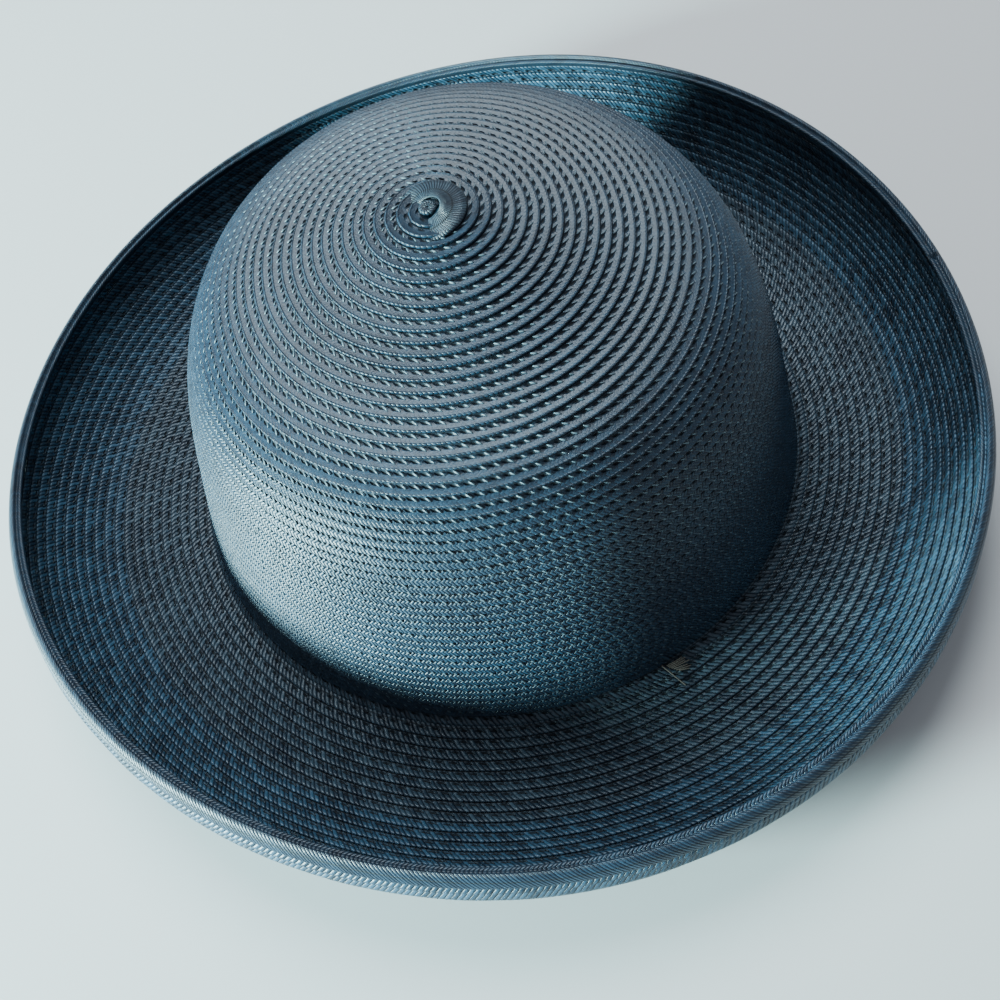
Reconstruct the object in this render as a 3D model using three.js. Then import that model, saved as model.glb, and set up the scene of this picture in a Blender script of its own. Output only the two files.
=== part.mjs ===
// Sewn braid straw hat with a domed crown and a brim that rolls up all round.
// One long flat braid is sewn round and round from the tip, each row lapping the next,
// so the walls are walked from the tip outwards: so many rows, each one row pitch further.
// Millimetres, +Z up, origin under the middle of the hat on the surface that it rests on.

import * as THREE from 'three';
import { mergeVertices } from 'three/addons/utils/BufferGeometryUtils.js';

// Driving sizes
const rowPitch = 3.0;        // step from one sewn row to the next, along the straw
const tipRows = 22;          // rows of the crown's top, from the tip outwards
const sideRows = 32;         // rows of the crown's side, down to its foot
const floorRows = 10.4;       // rows of the level part of the brim
const rollRows = 10.9;       // rows of the rolled part of the brim
const edgeRows = 2;          // row widths that the full edge braid takes up
const wall = 1.8;            // thickness of the lapped straw
const edgeWall = 2.6;        // thickness of the edge, where the braid lies doubled
const seamGap = 0.3;         // clearance between pieces that lie against each other
const flareLength = 3.0;     // bend between the crown wall and the brim, along the straw
const footPress = 0.4;       // how far the resting straw is pressed flat underneath

const startLength = 13.0;    // loose start of the braid, hooked over the tip
const startWidth = 4.4;
const startThickness = 1.3;
const startBend = 4.1;       // radius of that hook
const startBearing = -60;    // where the hook begins, in degrees from the right towards the back
const tackLength = 12.0;     // twist of sewing thread where the brim was joined on
const tackThickness = 1.4;
const tackBearing = 289;     // degrees round the hat, counted the same way

// Mesh fineness
const turnSteps = 64;
const tipSteps = 8;
const sideSteps = 11;
const floorSteps = 9;
const rollSteps = 7;
const edgeSteps = 3;
const walkStep = 0.25;       // step of the walk along a section, as a share of a row

// How far the crown wall dips below the level, in degrees, on its four sides.
// A share is of the way from the tip to the foot of the crown.
const crownSlopes = [
  { share: 0 / 8, right: 0, back: 0, left: 0, front: 0 },
  { share: 1 / 8, right: 19, back: 15, left: 18, front: 18 },
  { share: 2 / 8, right: 17, back: 15, left: 19, front: 19 },
  { share: 3 / 8, right: 25, back: 30, left: 33, front: 30 },
  { share: 4 / 8, right: 54, back: 60, left: 60, front: 61 },
  { share: 5 / 8, right: 71, back: 74, left: 73, front: 75 },
  { share: 6 / 8, right: 78, back: 78, left: 77, front: 78 },
  { share: 7 / 8, right: 80, back: 79, left: 77, front: 80 },
  { share: 8 / 8, right: 78, back: 77, left: 77, front: 83 },
];

// The same for the brim, on eight sides, from the foot of the crown to its outer edge.
// It is level first, then rolls up and at last leans in over itself.
const brimSlopes = [
  { share: 0 / 5, right: 8, backRight: 18, back: 16, backLeft: 6,
    left: 8, frontLeft: 18, front: 16, frontRight: 6 },
  { share: 1 / 5, right: -4, backRight: -5, back: 1, backLeft: 3,
    left: -4, frontLeft: -7, front: -2, frontRight: 1 },
  { share: 2 / 5, right: -17, backRight: -24, back: -14, backLeft: -5,
    left: -10, frontLeft: -17, front: -10, frontRight: -5 },
  { share: 3 / 5, right: -60, backRight: -60, back: -40, backLeft: -30,
    left: -37, frontLeft: -40, front: -32, frontRight: -40 },
  { share: 4 / 5, right: -70, backRight: -71, back: -58, backLeft: -49,
    left: -57, frontLeft: -65, front: -61, frontRight: -60 },
  { share: 5 / 5, right: -123, backRight: -127, back: -126, backLeft: -122,
    left: -127, frontLeft: -135, front: -133, frontRight: -124 },
];

// Sizes that follow
const tipWay = tipRows * rowPitch;
const crownWay = tipWay + sideRows * rowPitch;
const floorWay = crownWay + floorRows * rowPitch;
const edgeWay = floorWay + rollRows * rowPitch;
const fullWay = edgeWay + edgeRows * rowPitch;
const brimWay = fullWay - crownWay;
const halfGap = seamGap / 2;

const strawLook = { color: 0x1f2733, roughness: 0.55, metalness: 0.0 };
const strawMaterial = new THREE.MeshStandardMaterial(strawLook);
const edgeMaterial = new THREE.MeshStandardMaterial({ ...strawLook, color: 0x2a3442 });
const threadMaterial = new THREE.MeshStandardMaterial({ color: 0x8f7358, roughness: 0.8, metalness: 0.0 });

// A smooth value all round the hat through values on evenly spaced sides.
function roundTheHat(values, turn) {
  const count = values.length;
  let sum = 0;
  values.forEach((value, index) => {
    const away = turn - (index * 2 * Math.PI) / count;
    const tangent = Math.tan(away / 2);
    const weight = Math.abs(tangent) < 1e-9 ? 1 : Math.sin((count * away) / 2) / (count * tangent);
    sum += value * weight;
  });
  return sum;
}

// One side's slopes as a smooth curve over the share of the way.
function slopeCurves(table) {
  const sides = Object.keys(table[0]).filter((name) => name !== 'share');
  return sides.map((side) => new THREE.SplineCurve(
    table.map((row) => new THREE.Vector2(row.share, row[side])),
  ));
}

const crownCurves = slopeCurves(crownSlopes);
const brimCurves = slopeCurves(brimSlopes);

function tableSlope(curves, share, turn) {
  const held = THREE.MathUtils.clamp(share, 0, 1);
  return roundTheHat(curves.map((curve) => curve.getPoint(held).y), turn);
}

// Dip of the straw in degrees, with the corner at the foot of the crown bent round.
function slopeAt(way, turn) {
  const fromFoot = way - crownWay;
  const reach = flareLength / 2;
  const onCrown = Math.min(way, crownWay - reach) / crownWay;
  const onBrim = Math.max(fromFoot, reach) / brimWay;
  if (fromFoot <= -reach) {
    return tableSlope(crownCurves, onCrown, turn);
  }
  if (fromFoot >= reach) {
    return tableSlope(brimCurves, onBrim, turn);
  }
  const blend = (fromFoot + reach) / flareLength;
  return THREE.MathUtils.lerp(
    tableSlope(crownCurves, onCrown, turn),
    tableSlope(brimCurves, onBrim, turn),
    blend,
  );
}

// Walks one section from the tip to the rim and notes radius, height and slope on the way.
function walkSection(turn) {
  const steps = Math.round(fullWay / (rowPitch * walkStep));
  const length = fullWay / steps;
  const notes = [{ radius: 0, height: 0, slope: THREE.MathUtils.degToRad(slopeAt(0, turn)) }];
  for (let step = 1; step <= steps; step += 1) {
    const last = notes[step - 1];
    const middle = THREE.MathUtils.degToRad(slopeAt((step - 0.5) * length, turn));
    notes.push({
      radius: last.radius + length * Math.cos(middle),
      height: last.height - length * Math.sin(middle),
      slope: THREE.MathUtils.degToRad(slopeAt(step * length, turn)),
    });
  }
  return notes;
}

// Lowest underside of a section, which is where it meets the surface.
function lowestUnderside(notes) {
  return Math.min(...notes.map((note) => note.height - wall * Math.cos(note.slope)));
}

// All sections, with each brim let down or lifted a little so that every side rests.
const sections = Array.from({ length: turnSteps }, (_, index) => walkSection(
  (index * 2 * Math.PI) / turnSteps,
));
const lows = sections.map(lowestUnderside);
const restHeight = lows.reduce((sum, low) => sum + low, 0) / turnSteps;
sections.forEach((notes, index) => {
  const settle = restHeight - lows[index];
  notes.forEach((note, step) => {
    const way = (step * fullWay) / (notes.length - 1);
    note.height += settle * THREE.MathUtils.smoothstep(way, crownWay / 2, crownWay);
  });
});

// Point of a section at a way along the straw and a depth below the face that shows.
function sectionPoint(index, way, depth) {
  const notes = sections[index];
  const place = THREE.MathUtils.clamp((way / fullWay) * (notes.length - 1), 0, notes.length - 1);
  const low = Math.min(Math.floor(place), notes.length - 2);
  const part = place - low;
  const radius = THREE.MathUtils.lerp(notes[low].radius, notes[low + 1].radius, part);
  const height = THREE.MathUtils.lerp(notes[low].height, notes[low + 1].height, part);
  const slope = THREE.MathUtils.lerp(notes[low].slope, notes[low + 1].slope, part);
  const turn = (index * 2 * Math.PI) / turnSteps;
  const out = radius - depth * Math.sin(slope);
  const up = height - depth * Math.cos(slope);
  const pressed = Math.max(up, restHeight + footPress);
  return new THREE.Vector3(out * Math.cos(turn), out * Math.sin(turn), pressed);
}

// A wall turned on a lathe from its section's stations, then bent to the true section of
// each direction. A station is a way along the straw and a depth below the face that shows.
function latheWall(stations) {
  const blank = stations.map((station) => new THREE.Vector2(station.way, -station.depth));
  const geometry = new THREE.LatheGeometry(blank, turnSteps);
  const positions = geometry.attributes.position;
  for (let index = 0; index <= turnSteps; index += 1) {
    stations.forEach((station, place) => {
      const point = sectionPoint(index % turnSteps, station.way, station.depth);
      positions.setXYZ(index * stations.length + place, point.x, point.y, point.z);
    });
  }
  return geometry;
}

function evenWays(from, to, steps) {
  return Array.from({ length: steps + 1 }, (_, index) => from + ((to - from) * index) / steps);
}

// Under face outwards, then the face that shows back again.
function wallStations(from, to, steps, thickness) {
  const ways = evenWays(from, to, steps);
  const under = ways.map((way) => ({ way, depth: thickness }));
  const face = ways.map((way) => ({ way, depth: 0 })).reverse();
  return [...under, ...face];
}

function closeRing(stations) {
  return [...stations, stations[0]];
}

// Crown top: a domed shell that reaches from the tip to the shoulder
function makeTip() {
  return latheWall(wallStations(0, tipWay - halfGap, tipSteps, wall));
}

// A ring of straw between two ways, clear of the rings before and after it
function makeBand(from, to, steps) {
  return latheWall(closeRing(wallStations(from + halfGap, to - halfGap, steps, wall)));
}

// Edge: the full width of the braid folded over the rim, with a rounded outer edge
function makeEdge() {
  const from = edgeWay + halfGap;
  const to = fullWay - edgeWall / 2;
  const lift = (edgeWall - wall) / 2;
  const ways = evenWays(from, to, edgeSteps);
  const under = ways.map((way) => ({ way, depth: wall + lift }));
  const roundSteps = 4;
  const middle = wall / 2;
  const nose = Array.from({ length: roundSteps - 1 }, (_, index) => {
    const angle = (Math.PI * (index + 1)) / roundSteps;
    return {
      way: to + (edgeWall / 2) * Math.sin(angle),
      depth: middle + (edgeWall / 2) * Math.cos(angle),
    };
  });
  const face = ways.map((way) => ({ way, depth: -lift })).reverse();
  return latheWall(closeRing([...under, ...nose, ...face]));
}

// The face that shows, anywhere on the hat, between the walked sections.
function facePoint(way, degrees, lift) {
  const place = (THREE.MathUtils.euclideanModulo(degrees, 360) / 360) * turnSteps;
  const low = Math.floor(place) % turnSteps;
  const a = sectionPoint(low, way, -lift);
  const b = sectionPoint((low + 1) % turnSteps, way, -lift);
  return a.lerp(b, place - Math.floor(place));
}

// A flat strip with its section swept along a path that lies on the straw.
function makeStrip(points, width, thickness, steps) {
  const half = width / 2;
  const high = thickness / 2;
  const section = new THREE.Shape();
  section.moveTo(-high, -half);
  section.lineTo(high, -half);
  section.lineTo(high, half);
  section.lineTo(-high, half);
  section.closePath();
  const path = new THREE.CatmullRomCurve3(points);
  return new THREE.ExtrudeGeometry(section, {
    steps,
    curveSegments: 1,
    bevelEnabled: false,
    extrudePath: path,
  });
}

// Start of the braid: a short end that hooks round above the tip
function makeStart() {
  const sweep = THREE.MathUtils.radToDeg(startLength / startBend);
  const lift = startThickness / 2 + seamGap;
  const points = evenWays(startBearing, startBearing + sweep, 6).map(
    (degrees) => facePoint(startBend, degrees, lift),
  );
  return makeStrip(points, startWidth, startThickness, 14);
}

// Thread tack: a twist of thread lying in the corner between crown and brim
function makeTack() {
  const way = crownWay + flareLength + tackThickness / 2;
  const away = facePoint(way, tackBearing, 0);
  const reach = Math.hypot(away.x, away.y);
  const half = THREE.MathUtils.radToDeg(tackLength / reach / 2);
  const lift = tackThickness / 2 + seamGap;
  const points = evenWays(tackBearing - half, tackBearing + half, 4).map(
    (degrees) => facePoint(way, degrees, lift),
  );
  return makeStrip(points, tackThickness, tackThickness, 8);
}

// Assembly, moved so that the middle of its footprint is the origin
const pieces = [
  { name: 'crown_tip', geometry: makeTip(), material: strawMaterial },
  { name: 'crown_side', geometry: makeBand(tipWay, crownWay, sideSteps), material: strawMaterial },
  { name: 'brim_floor', geometry: makeBand(crownWay, floorWay, floorSteps), material: strawMaterial },
  { name: 'brim_roll', geometry: makeBand(floorWay, edgeWay, rollSteps), material: strawMaterial },
  { name: 'edge_braid', geometry: makeEdge(), material: edgeMaterial },
  { name: 'braid_start', geometry: makeStart(), material: strawMaterial },
  { name: 'thread_tack', geometry: makeTack(), material: threadMaterial },
];

const hat = new THREE.Group();
pieces.forEach(({ name, geometry, material }) => {
  geometry.deleteAttribute('normal');
  geometry.deleteAttribute('uv');
  const mesh = new THREE.Mesh(mergeVertices(geometry, 1e-4), material);
  mesh.name = name;
  hat.add(mesh);
});

const footprint = new THREE.Box3().setFromObject(hat);
const middle = footprint.getCenter(new THREE.Vector3());
hat.position.set(-middle.x, -middle.y, -footprint.min.z);
hat.updateMatrixWorld(true);

export default hat;
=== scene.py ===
# %% [markdown]
# # A sewn braid straw hat
#
# A hat of this kind is one long flat braid of dyed straw. The maker starts at the tip of
# the crown and sews the braid round and round, each turn lying a little under the one
# before it. We rebuild it the same way: a spiral path on the hat's surface, and a braid
# swept along that path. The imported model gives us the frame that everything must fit.

import math
import bpy
import numpy as np
from mathutils import Matrix, Vector


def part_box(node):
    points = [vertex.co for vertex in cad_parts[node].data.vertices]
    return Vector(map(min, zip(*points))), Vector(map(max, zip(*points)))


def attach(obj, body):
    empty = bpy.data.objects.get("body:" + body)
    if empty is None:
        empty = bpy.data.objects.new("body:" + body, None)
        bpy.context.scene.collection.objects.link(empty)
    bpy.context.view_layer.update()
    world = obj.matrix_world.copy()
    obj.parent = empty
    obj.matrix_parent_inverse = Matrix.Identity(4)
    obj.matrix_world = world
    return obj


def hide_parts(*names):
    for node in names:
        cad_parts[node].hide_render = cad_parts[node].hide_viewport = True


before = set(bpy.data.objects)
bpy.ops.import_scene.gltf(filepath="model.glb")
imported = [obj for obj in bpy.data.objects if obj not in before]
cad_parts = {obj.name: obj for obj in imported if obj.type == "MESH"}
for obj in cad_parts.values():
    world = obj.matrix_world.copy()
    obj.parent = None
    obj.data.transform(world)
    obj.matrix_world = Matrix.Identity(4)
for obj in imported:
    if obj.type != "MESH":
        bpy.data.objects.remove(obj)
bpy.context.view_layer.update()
print("nodes:", sorted(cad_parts))

# %% [markdown]
# ## The hat's sizes
#
# A hat maker counts rows. A row is one turn of braid, and each turn is sewn one row pitch
# further out along the straw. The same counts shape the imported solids, so the braid that
# we lay over them lands in the same place. The flare is the stretch in which the crown
# turns into the brim, and the foot press is how far the lowest straw gives under the
# hat's own weight. All lengths are in metres.

# %% Sizes in rows
MM = 0.001
ROW_PITCH = 3.0 * MM
TIP_ROWS = 22
SIDE_ROWS = 32
FLOOR_ROWS = 10.4
ROLL_ROWS = 10.9
EDGE_ROWS = 2
WALL = 1.8 * MM
FLARE = 3.0 * MM
FOOT_PRESS = 0.4 * MM

CROWN_WAY = (TIP_ROWS + SIDE_ROWS) * ROW_PITCH
BRIM_WAY = (FLOOR_ROWS + ROLL_ROWS + EDGE_ROWS) * ROW_PITCH
FULL_WAY = CROWN_WAY + BRIM_WAY
print("braid rows:", round(FULL_WAY / ROW_PITCH, 1))

# %% [markdown]
# ## The hat's section
#
# A block or a lathe could give a round hat, but a hat pressed by hand is never quite
# round. So we note how steeply the straw dips at a few places between tip and rim, on
# several sides of the hat, and walk down the slope from the tip. A smooth curve joins the
# places, and a smooth wave joins the sides.

# %% Slopes of the straw
# Degrees below the level. Rows run from tip to foot; columns are right, back, left, front.
CROWN_SLOPES = np.array([
    [0, 0, 0, 0],
    [19, 15, 18, 18],
    [17, 15, 19, 19],
    [25, 30, 33, 30],
    [54, 60, 60, 61],
    [71, 74, 73, 75],
    [78, 78, 77, 78],
    [80, 79, 77, 80],
    [78, 77, 77, 83],
], dtype=float)

# Rows run from foot to rim; columns go right, back right, back, and so on round the hat.
BRIM_SLOPES = np.array([
    [8, 18, 16, 6, 8, 18, 16, 6],
    [-4, -5, 1, 3, -4, -7, -2, 1],
    [-17, -24, -14, -5, -10, -17, -10, -5],
    [-60, -60, -40, -30, -37, -40, -32, -40],
    [-70, -71, -58, -49, -57, -65, -61, -60],
    [-123, -127, -126, -122, -127, -135, -133, -124],
], dtype=float)


def between_rows(table, share):
    """Smooth curve through a table's rows at shares from 0 to 1 of the way."""
    last = len(table) - 1
    place = np.clip(share, 0, 1) * last
    low = np.minimum(place.astype(int), last - 1)
    part = (place - low)[:, None]
    before, start = table[np.maximum(low - 1, 0)], table[low]
    end, after = table[low + 1], table[np.minimum(low + 2, last)]
    rise, leave = (end - before) / 2, (after - start) / 2
    cubic = 2 * (start - end) + rise + leave
    square = 3 * (end - start) - 2 * rise - leave
    return ((cubic * part + square) * part + rise) * part + start


def round_the_hat(sides, turn):
    """Smooth wave through evenly spaced sides: one row of sides for each turn angle."""
    count = sides.shape[1]
    away = turn[:, None] - np.arange(count) * 2 * np.pi / count
    tangent = np.tan(away / 2)
    near = np.abs(tangent) < 1e-9
    weight = np.where(near, 1, np.sin(count * away / 2) / (count * np.where(near, 1, tangent)))
    return (sides * weight).sum(axis=1)


def dip(way, turn):
    """Slope of the straw in radians at ways from the tip, at angles round the hat."""
    reach = FLARE / 2
    past_foot = way - CROWN_WAY
    on_crown = np.minimum(way, CROWN_WAY - reach) / CROWN_WAY
    on_brim = np.maximum(past_foot, reach) / BRIM_WAY
    crown = round_the_hat(between_rows(CROWN_SLOPES, on_crown), turn)
    brim = round_the_hat(between_rows(BRIM_SLOPES, on_brim), turn)
    blend = np.clip((past_foot + reach) / FLARE, 0, 1)
    return np.radians(crown * (1 - blend) + brim * blend)


print("dip at the foot, front:", round(math.degrees(dip(np.array([CROWN_WAY]),
      np.array([1.5 * np.pi]))[0]), 1))

# %% [markdown]
# Now we walk. Each step goes a short way along the slope, so radius and height add up.
# At the end every side of the brim is let down a little or lifted until all of it rests
# on the ground, as soft straw does. We keep the walk as a grid and read it back smoothly.

# %% Walk the sections
SIDES = 360
STEP = 0.25 * ROW_PITCH


def smooth_step(value, low, high):
    part = np.clip((value - low) / (high - low), 0, 1)
    return part * part * (3 - 2 * part)


def walk_hat():
    count = round(FULL_WAY / STEP)
    length = FULL_WAY / count
    turns = np.arange(SIDES) * 2 * np.pi / SIDES
    ways = np.arange(count + 1) * length
    radius = np.zeros((count + 1, SIDES))
    height = np.zeros((count + 1, SIDES))
    slope = np.stack([dip(np.full(SIDES, way), turns) for way in ways])
    for index in range(count):
        middle = dip(np.full(SIDES, ways[index] + length / 2), turns)
        radius[index + 1] = radius[index] + length * np.cos(middle)
        height[index + 1] = height[index] - length * np.sin(middle)
    lows = (height - WALL * np.cos(slope)).min(axis=0)
    rest = lows.mean()
    height += (rest - lows) * smooth_step(ways, CROWN_WAY / 2, CROWN_WAY)[:, None]
    return radius, height, rest


radius_grid, height_grid, rest_height = walk_hat()
print("crown height above the ground, mm:", round((height_grid.max() - rest_height) * 1000, 1))

# %% [markdown]
# To lay braid on the straw we need places and directions on it. We read the two grids
# smoothly at any way and turn, and lift a point off the face along the section's normal.
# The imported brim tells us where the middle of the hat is.

# %% Places on the straw
slope_grid = np.arctan2(-np.gradient(height_grid, axis=0), np.gradient(radius_grid, axis=0))


def read_grid(grid, way, turn):
    """Value of a grid at ways from the tip and angles round the hat, evened out between."""
    rows = len(grid) - 1
    place = np.clip(way / FULL_WAY, 0, 1) * rows
    low = np.minimum(place.astype(int), rows - 1)
    down = place - low
    side = (turn / (2 * np.pi) * SIDES) % SIDES
    left = side.astype(int) % SIDES
    right = (left + 1) % SIDES
    along = side - np.floor(side)
    upper = grid[low, left] * (1 - along) + grid[low, right] * along
    lower = grid[low + 1, left] * (1 - along) + grid[low + 1, right] * along
    return upper * (1 - down) + lower * down


def polar_point(radius, height, turn):
    return np.stack([radius * np.cos(turn), radius * np.sin(turn), height], axis=-1)


def middle_of_hat():
    """Moves the walk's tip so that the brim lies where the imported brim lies."""
    turns = np.arange(SIDES) * 2 * np.pi / SIDES
    under = radius_grid - WALL * np.sin(slope_grid)
    across, deep = under * np.cos(turns), under * np.sin(turns)
    low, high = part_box("brim_roll")
    return np.array([
        (low[0] + high[0]) / 2 - (across.min() + across.max()) / 2,
        (low[1] + high[1]) / 2 - (deep.min() + deep.max()) / 2,
        -(rest_height + FOOT_PRESS),
    ])


TIP = middle_of_hat()


def straw_point(way, turn, lift=0.0):
    """Point on the face that shows, lifted off it along the section's normal."""
    slope = read_grid(slope_grid, way, turn)
    radius = read_grid(radius_grid, way, turn) + lift * np.sin(slope)
    height = read_grid(height_grid, way, turn) + lift * np.cos(slope)
    return polar_point(radius, height, turn) + TIP


def straw_down(way, turn):
    """Unit vector down the slope of the straw."""
    slope = read_grid(slope_grid, way, turn)
    return polar_point(np.cos(slope), -np.sin(slope), turn)


def straw_out(way, turn):
    """Unit vector straight out of the straw."""
    slope = read_grid(slope_grid, way, turn)
    return polar_point(np.sin(slope), np.cos(slope), turn)


print("tip in mm:", np.round(TIP * 1000, 2))

# %% [markdown]
# ## Camera
#
# A camera that looks down at a resting hat needs three things: how steeply it looks, how
# far it is from something we know, and how much it is tipped sideways. The spot where the
# tip of the crown sits in the picture then fixes the rest. We build the camera's own
# axes and place it on the line through that spot.

# %% Camera
IMAGE_SIZE = 1000
SENSOR = 36.0
FOCAL_PIXELS = 1187
LOOK_DOWN = math.radians(59.26)
ROLL = math.radians(-15.94)
TIP_PIXEL = (428, 208)
TIP_DISTANCE = 0.2859


def place_camera():
    forward = Vector((0, math.cos(LOOK_DOWN), -math.sin(LOOK_DOWN)))
    level_up = Vector((0, math.sin(LOOK_DOWN), math.cos(LOOK_DOWN)))
    level_right = Vector((1, 0, 0))
    right = level_right * math.cos(ROLL) + level_up * math.sin(ROLL)
    up = level_up * math.cos(ROLL) - level_right * math.sin(ROLL)
    half = IMAGE_SIZE / 2
    ray = forward
    ray = ray + right * ((TIP_PIXEL[0] - half) / FOCAL_PIXELS)
    ray = ray - up * ((TIP_PIXEL[1] - half) / FOCAL_PIXELS)
    data = bpy.data.cameras.new("view")
    data.sensor_width = SENSOR
    data.lens = FOCAL_PIXELS / IMAGE_SIZE * SENSOR
    data.clip_start = 0.01
    camera = bpy.data.objects.new("view", data)
    turned = Matrix((right, up, -forward)).transposed().to_4x4()
    turned.translation = Vector(TIP) - ray * TIP_DISTANCE
    camera.matrix_world = turned
    bpy.context.scene.collection.objects.link(camera)
    bpy.context.scene.camera = camera
    return camera


camera = place_camera()
print("camera at mm:", [round(v * 1000) for v in camera.matrix_world.translation])

# %% [markdown]
# ## Braid paths
#
# The braid could be many rings, but the real one is a single spiral. A turn number grows
# steadily along it: the whole part says which row we are in, and the outer edge of the
# braid lies at that many row pitches from the tip. Each row is tilted a little like a
# roof shingle, so its outer edge lies on top and its inner edge hides under the row
# before. The crown's braid ends, and the brim's begins, at the front right.

# %% Spiral paths
BRAID_WIDTH = 1.8 * ROW_PITCH
BRAID_THICK = 0.78 * MM
LAP_TILT = math.asin(BRAID_THICK / ROW_PITCH)
JOIN_BEARING = math.radians(289)
FIRST_TURN = 1.2
FOOT_TURN = TIP_ROWS + SIDE_ROWS
FLOOR_END = FOOT_TURN + FLOOR_ROWS
ROLL_END = FLOOR_END + ROLL_ROWS
LAST_STITCH = ROLL_END + 0.2
LAST_TURN = ROLL_END + 1.85
WANDER = 0.10 * MM
WAVE_COUNT = 7
WAVE_RATES = (0.6, 2.2)
SEED = 7
rng = np.random.default_rng(SEED)


def draw_waves():
    return [(rng.uniform(*WAVE_RATES), rng.uniform(0, 2 * np.pi)) for _ in range(WAVE_COUNT)]


WAVES = draw_waves()
LIFT_WAVES = draw_waves()


def wander(turns, waves):
    """Small uneven drift of hand-guided sewing, from a few waves that never line up.

    The length sewn so far grows with the square of the turn number, so that square keeps
    the drift as quick near the rim as near the tip.
    """
    return sum(np.sin(turns ** 2 * rate + start) for rate, start in waves) / len(waves)


def braid_place(turns, lateral, lift=0.0):
    """Point on a braid's upper face, `lateral` in from its outer edge, at turn numbers."""
    angle = JOIN_BEARING + 2 * np.pi * turns
    outer = ROW_PITCH * turns + WANDER * wander(turns, WAVES)
    way = np.maximum(outer - lateral * math.cos(LAP_TILT), 0)
    rise = WANDER * wander(turns, LIFT_WAVES)
    return straw_point(way, angle, rise + lift - lateral * math.sin(LAP_TILT))


def braid_out(turns):
    """Direction straight out of the tilted braid's face."""
    angle = JOIN_BEARING + 2 * np.pi * turns
    way = ROW_PITCH * turns - BRAID_WIDTH / 2
    return straw_out(way, angle) * math.cos(LAP_TILT) - straw_down(way, angle) * math.sin(LAP_TILT)


def braid_normals(turns, points):
    """The same direction, made square to the run of the braid."""
    normal = braid_out(turns)
    run = np.gradient(points, axis=0)
    run /= np.linalg.norm(run, axis=1, keepdims=True)
    normal -= run * (normal * run).sum(axis=1, keepdims=True)
    return normal / np.linalg.norm(normal, axis=1, keepdims=True)


def lengths_along(points):
    """Length from a path's first point to each of its points."""
    return np.concatenate([[0], np.linalg.norm(np.diff(points, axis=0), axis=1).cumsum()])


# The length along the braid for every turn number, measured once on a fine spiral.
FINE_STEPS = 360
fine_turns = np.linspace(FIRST_TURN, LAST_TURN, int((LAST_TURN - FIRST_TURN) * FINE_STEPS))
fine_lengths = lengths_along(braid_place(fine_turns, BRAID_WIDTH / 2))
print("braid length in m:", round(float(fine_lengths[-1]), 2))

# %% [markdown]
# ## Sweeping the braid
#
# A braid along a path is a job for Geometry Nodes: the path's points become a curve, each
# point's stored direction sets how the braid lies, and a small outline is swept along it.
# The same tree serves every stretch of braid. It also carries along two measures that the
# material will need: how far along the braid we are, and how far across it. Points that
# carry a strand number are strung into one curve for each number.

# %% Helpers for node trees
def new_tree(name, kind="GeometryNodeTree"):
    return bpy.data.node_groups.new(name, kind)


def add_input(tree, name, kind, value=None):
    socket = tree.interface.new_socket(name=name, in_out="INPUT", socket_type=kind)
    if value is not None:
        socket.default_value = value


def add_output(tree, name, kind):
    tree.interface.new_socket(name=name, in_out="OUTPUT", socket_type=kind)


def node(tree, kind, **settings):
    made = tree.nodes.new(kind)
    for key, value in settings.items():
        setattr(made, key, value)
    return made


def join(tree, source, target):
    tree.links.new(source, target)


def read_attribute(tree, name, kind):
    reader = node(tree, "GeometryNodeInputNamedAttribute", data_type=kind)
    reader.inputs["Name"].default_value = name
    return reader.outputs["Attribute"]


# %% [markdown]
# The path's points are strung into a curve in the order of their numbers, and each is told
# which way the braid faces. The outline's points are strung into a closed loop in the same
# way, and the loop is swept along the curve. The outline could be drawn inside the tree,
# but as an object of its own it lets one tree serve every shape of braid.

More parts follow.
